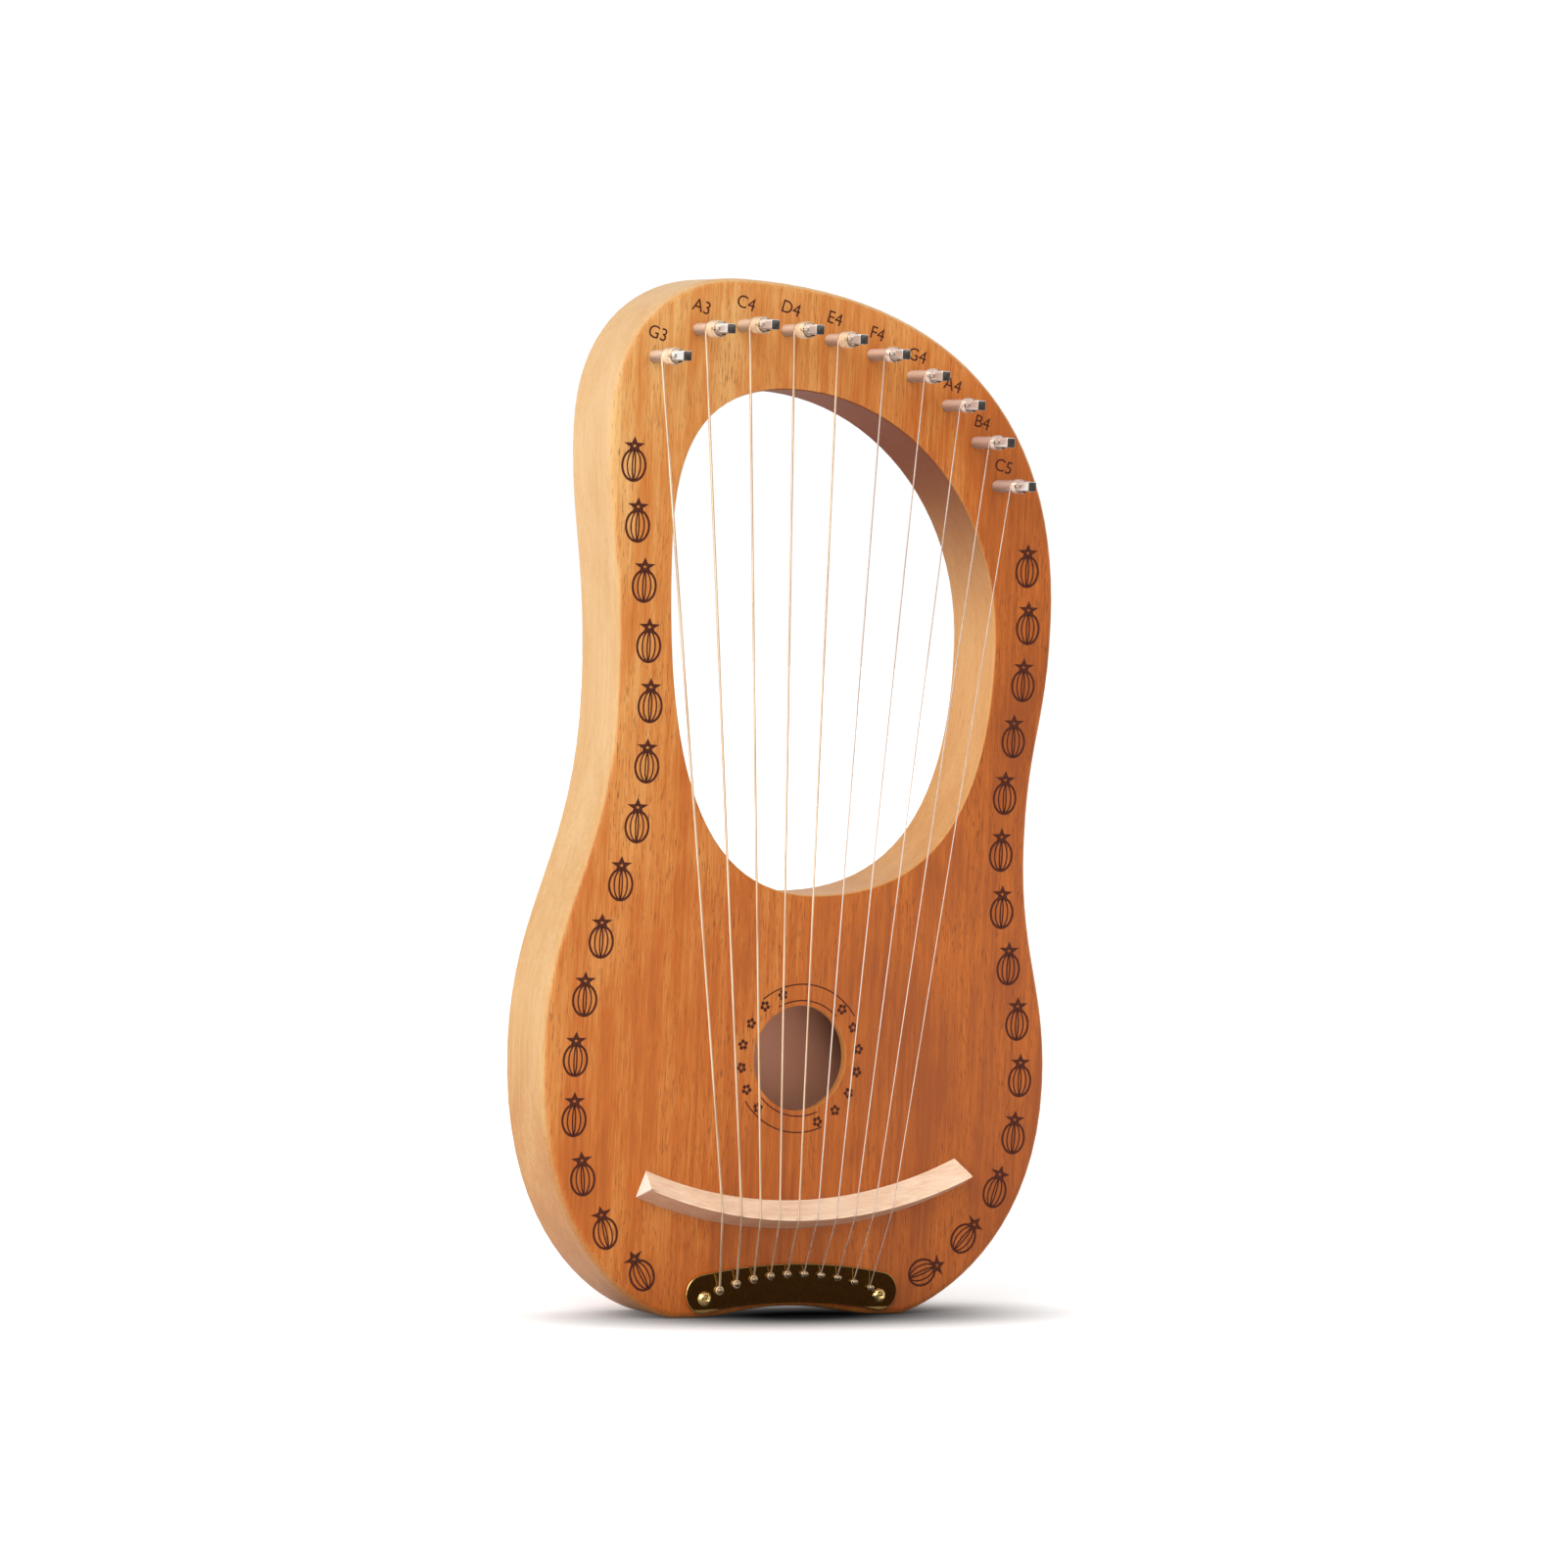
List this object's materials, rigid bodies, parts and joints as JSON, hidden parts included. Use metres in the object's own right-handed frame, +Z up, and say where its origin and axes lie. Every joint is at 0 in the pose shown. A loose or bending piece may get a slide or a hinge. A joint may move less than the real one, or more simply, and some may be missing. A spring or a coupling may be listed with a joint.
{
  "type": "lyre",
  "caption": "Small hollow wooden lyre harp with an egg-shaped opening, steel strings over a curved bridge, a brass tail plate and turning tuning pins.",
  "frame": {"origin": "under the middle of the whole lyre's box, on the surface that its two feet stand on", "axes": "+X to the right seen from the front, +Y from the front to the back, +Z up from the feet to the crown"},
  "size_m": [0.231, 0.059, 0.41],
  "materials": {
    "face_wood": "satin lacquer over fine-grained reddish hardwood",
    "frame_wood": "satin lacquer over pale hardwood",
    "brace_wood": "bare spruce",
    "bridge_wood": "bare sanded maple",
    "plate_brass": "mirror-polished brass, a little darkened",
    "screw_brass": "polished brass",
    "pin_nickel": "bright nickel plate",
    "wound_string": "bronze wound on steel",
    "plain_string": "bright plain steel wire"
  },
  "bodies": {
    "lyre_body": {"body_frame": "frame_wood", "soundboard": "face_wood", "back_plate": "face_wood", "brace_low": "brace_wood", "brace_high": "brace_wood", "bridge": "bridge_wood", "tail_plate": "plate_brass", "tail_plate_screws": "screw_brass", "hitch_pins": "pin_nickel", "string_1": "wound_string", "string_2": "wound_string", "string_3": "wound_string", "string_4": "wound_string", "string_5": "wound_string", "string_6": "plain_string", "string_7": "plain_string", "string_8": "plain_string", "string_9": "plain_string", "string_10": "plain_string"},
    "pin_1": {"tuning_pin_1": "pin_nickel", "string_coil_1": "wound_string"},
    "pin_2": {"tuning_pin_2": "pin_nickel", "string_coil_2": "wound_string"},
    "pin_3": {"tuning_pin_3": "pin_nickel", "string_coil_3": "wound_string"},
    "pin_4": {"tuning_pin_4": "pin_nickel", "string_coil_4": "wound_string"},
    "pin_5": {"tuning_pin_5": "pin_nickel", "string_coil_5": "wound_string"},
    "pin_6": {"tuning_pin_6": "pin_nickel", "string_coil_6": "plain_string"},
    "pin_7": {"tuning_pin_7": "pin_nickel", "string_coil_7": "plain_string"},
    "pin_8": {"tuning_pin_8": "pin_nickel", "string_coil_8": "plain_string"},
    "pin_9": {"tuning_pin_9": "pin_nickel", "string_coil_9": "plain_string"},
    "pin_10": {"tuning_pin_10": "pin_nickel", "string_coil_10": "plain_string"}
  },
  "joints": [
    {"name": "pin_turn_1", "type": "hinge", "parent": "lyre_body", "child": "pin_1", "pos_m": [-0.07948, -0.007, 0.37716], "axis": [0, 1, 0], "continuous": true},
    {"name": "pin_turn_2", "type": "hinge", "parent": "lyre_body", "child": "pin_2", "pos_m": [-0.06058, -0.007, 0.38881], "axis": [0, 1, 0], "continuous": true},
    {"name": "pin_turn_3", "type": "hinge", "parent": "lyre_body", "child": "pin_3", "pos_m": [-0.041, -0.007, 0.3915], "axis": [0, 1, 0], "continuous": true},
    {"name": "pin_turn_4", "type": "hinge", "parent": "lyre_body", "child": "pin_4", "pos_m": [-0.02082, -0.007, 0.39069], "axis": [0, 1, 0], "continuous": true},
    {"name": "pin_turn_5", "type": "hinge", "parent": "lyre_body", "child": "pin_5", "pos_m": [-0.0008, -0.007, 0.3881], "axis": [0, 1, 0], "continuous": true},
    {"name": "pin_turn_6", "type": "hinge", "parent": "lyre_body", "child": "pin_6", "pos_m": [0.01881, -0.007, 0.38332], "axis": [0, 1, 0], "continuous": true},
    {"name": "pin_turn_7", "type": "hinge", "parent": "lyre_body", "child": "pin_7", "pos_m": [0.03755, -0.007, 0.37584], "axis": [0, 1, 0], "continuous": true},
    {"name": "pin_turn_8", "type": "hinge", "parent": "lyre_body", "child": "pin_8", "pos_m": [0.05464, -0.007, 0.36513], "axis": [0, 1, 0], "continuous": true},
    {"name": "pin_turn_9", "type": "hinge", "parent": "lyre_body", "child": "pin_9", "pos_m": [0.06906, -0.007, 0.35105], "axis": [0, 1, 0], "continuous": true},
    {"name": "pin_turn_10", "type": "hinge", "parent": "lyre_body", "child": "pin_10", "pos_m": [0.07988, -0.007, 0.33405], "axis": [0, 1, 0], "continuous": true}
  ]
}
